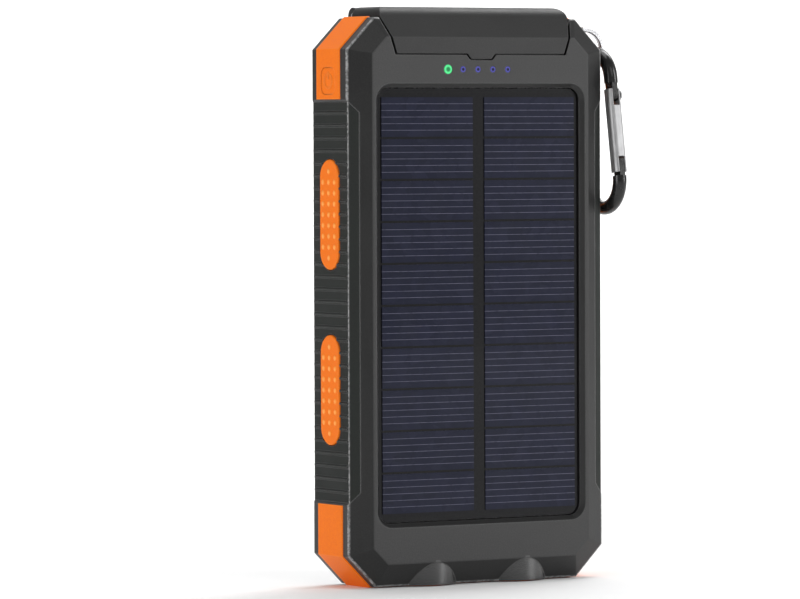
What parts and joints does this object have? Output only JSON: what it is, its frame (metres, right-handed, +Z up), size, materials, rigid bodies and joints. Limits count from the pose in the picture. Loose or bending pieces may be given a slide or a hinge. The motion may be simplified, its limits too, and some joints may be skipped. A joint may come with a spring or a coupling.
{
  "type": "solar phone charger",
  "caption": "Rugged portable battery charger with a solar panel face, flap-covered ports, torch end, compass, side grips, split ring and snap hook.",
  "frame": {"origin": "middle of the flat underside of the orange bumper at the torch end, which the charger stands on", "axes": "+Z up the charger's length to the port flap, solar panel faces -Y, power key faces -X, ring and snap hook at +X"},
  "size_m": [0.0807, 0.0258, 0.1424],
  "materials": {
    "case_plastic": "fine grain, matte",
    "grip_rubber": "matte",
    "orange_rubber": "matte",
    "orange_plastic": "satin",
    "dark_plastic": "matte",
    "white_plastic": "satin",
    "panel_black": "clear coated",
    "solar_cell": "clear coated silicon with fine silver fingers",
    "foam": "soft foam",
    "green_light": "clear, lit",
    "blue_light": "clear",
    "led_white": "gloss",
    "led_yellow": "gloss",
    "circuit_board": "solder mask",
    "port_metal": "tinned steel",
    "contact_brass": "gilded",
    "battery_foil": "laminated foil",
    "reflector": "vacuum metallised",
    "clear_lens": "clear",
    "compass_print": "printed disc",
    "steel": "nickel plated",
    "gate_metal": "bright zinc",
    "black_metal": "gloss black"
  },
  "bodies": {
    "case": {"front_shell": "case_plastic", "back_shell": "case_plastic", "left_side_grip": "grip_rubber", "right_side_grip": "grip_rubber", "left_grip_pads": "orange_rubber", "right_grip_pads": "orange_rubber", "left_corner_guard": "orange_plastic", "right_corner_guard": "orange_plastic", "bottom_bumper": "orange_plastic", "power_switch": "dark_plastic", "solar_panel_board": "panel_black", "panel_adhesive": "foam", "solar_cells": "solar_cell", "charge_light_pipe": "green_light", "battery_light_pipes": "blue_light", "status_leds": "led_white", "main_circuit_board": "circuit_board", "board_chips": "dark_plastic", "power_inductors": "dark_plastic", "port_frame": "case_plastic", "usb_port_left": "port_metal", "usb_port_right": "port_metal", "usb_tongues": "white_plastic", "usb_contacts": "contact_brass", "micro_usb_port": "port_metal", "micro_usb_tongue": "dark_plastic", "battery_cell_front": "battery_foil", "battery_cell_rear": "battery_foil", "battery_foam": "foam", "battery_tabs": "port_metal", "torch_board": "circuit_board", "torch_emitters": "led_yellow", "torch_reflectors": "reflector", "torch_lenses": "clear_lens", "compass_plate": "case_plastic", "compass_cup": "white_plastic", "compass_pivot": "contact_brass", "compass_lens": "clear_lens", "flap_hinge_pin": "steel", "case_screws": "steel", "screw_caps": "grip_rubber", "strap_bar": "steel"},
    "key": {"power_button": "orange_rubber", "switch_plunger": "dark_plastic"},
    "flap": {"port_flap": "grip_rubber", "port_plugs": "grip_rubber"},
    "card": {"compass_card": "compass_print"},
    "ring": {"split_ring": "steel"},
    "hook": {"snap_hook_body": "black_metal", "gate_rivet": "gate_metal"},
    "gate": {"snap_hook_gate": "gate_metal", "gate_latch_pin": "gate_metal"}
  },
  "joints": [
    {"name": "power_key_press", "type": "slide", "parent": "case", "child": "key", "axis": [1, 0, 0], "range_m": [0, 0.0005], "stiffness_N_per_m": 3000},
    {"name": "flap_hinge", "type": "hinge", "parent": "case", "child": "flap", "pos_m": [0, 0.0087, 0.1402], "axis": [-1, 0, 0], "range_deg": [0, 135]},
    {"name": "compass_card_spin", "type": "hinge", "parent": "case", "child": "card", "pos_m": [0, 0.0088, 0.1219], "axis": [0, 1, 0], "continuous": true},
    {"name": "ring_swing", "type": "hinge", "parent": "case", "child": "ring", "pos_m": [0.0336, 0, 0.133], "axis": [0, -1, 0], "range_deg": [0, 60]},
    {"name": "hook_swing", "type": "hinge", "parent": "ring", "child": "hook", "pos_m": [0.03983, 0, 0.13099], "axis": [0, -1, 0], "range_deg": [0, 80]},
    {"name": "gate_hinge", "type": "hinge", "parent": "hook", "child": "gate", "pos_m": [0.03983, -0.00873, 0.12063], "axis": [1, 0, 0], "range_deg": [0, 22], "stiffness_Nm_per_rad": 0.02, "springref_deg": -17.19}
  ]
}
